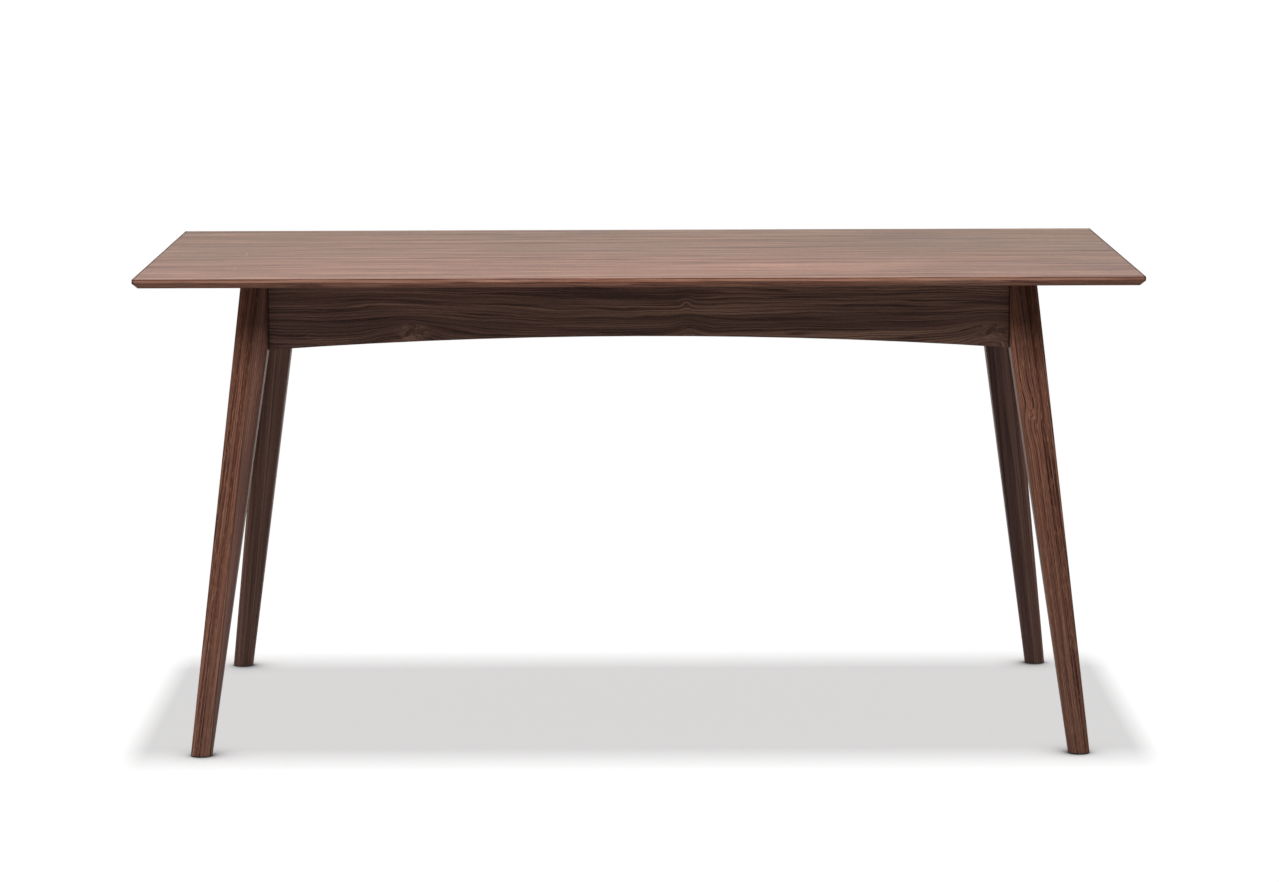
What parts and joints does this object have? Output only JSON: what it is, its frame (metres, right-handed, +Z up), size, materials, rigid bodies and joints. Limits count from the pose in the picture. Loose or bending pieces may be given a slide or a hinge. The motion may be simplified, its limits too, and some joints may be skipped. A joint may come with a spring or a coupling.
{
  "type": "dining table",
  "caption": "Rectangular walnut dining table with a thin undercut top, an arched apron on every side and tapered round-footed legs splayed both ways.",
  "frame": {"origin": "on the floor, under the centre of the top", "axes": "+X along the table's length, +Y to the back, +Z up; the front faces -Y"},
  "size_m": [1.6, 0.8, 0.775],
  "materials": {
    "walnut_veneer": "satin lacquer over straight-grained walnut veneer",
    "walnut_edge": "satin lacquered walnut",
    "walnut_apron": "satin lacquered walnut, dark streaks and knots",
    "walnut_leg": "satin lacquered walnut",
    "backing_veneer": "matt sealed backing veneer",
    "core_board": "raw fibreboard",
    "frame_hardwood": "sanded bare hardwood",
    "zinc_steel": "bright zinc plate",
    "glide_plastic": "matte pale nylon"
  },
  "bodies": {
    "root": {"back_apron": "walnut_apron", "back_left_corner_block": "frame_hardwood", "back_left_leg": "walnut_leg", "back_lipping": "walnut_edge", "back_right_corner_block": "frame_hardwood", "back_right_leg": "walnut_leg", "foot_glides": "glide_plastic", "front_apron": "walnut_apron", "front_left_corner_block": "frame_hardwood", "front_left_leg": "walnut_leg", "front_lipping": "walnut_edge", "front_right_corner_block": "frame_hardwood", "front_right_leg": "walnut_leg", "hanger_bolt_nuts": "zinc_steel", "hanger_bolt_washers": "zinc_steel", "hanger_bolts": "zinc_steel", "left_apron": "walnut_apron", "left_cross_rail": "frame_hardwood", "left_lipping": "walnut_edge", "right_apron": "walnut_apron", "right_cross_rail": "frame_hardwood", "right_lipping": "walnut_edge", "tabletop_backing_veneer": "backing_veneer", "tabletop_core": "core_board", "tabletop_face_veneer": "walnut_veneer"}
  },
  "joints": []
}
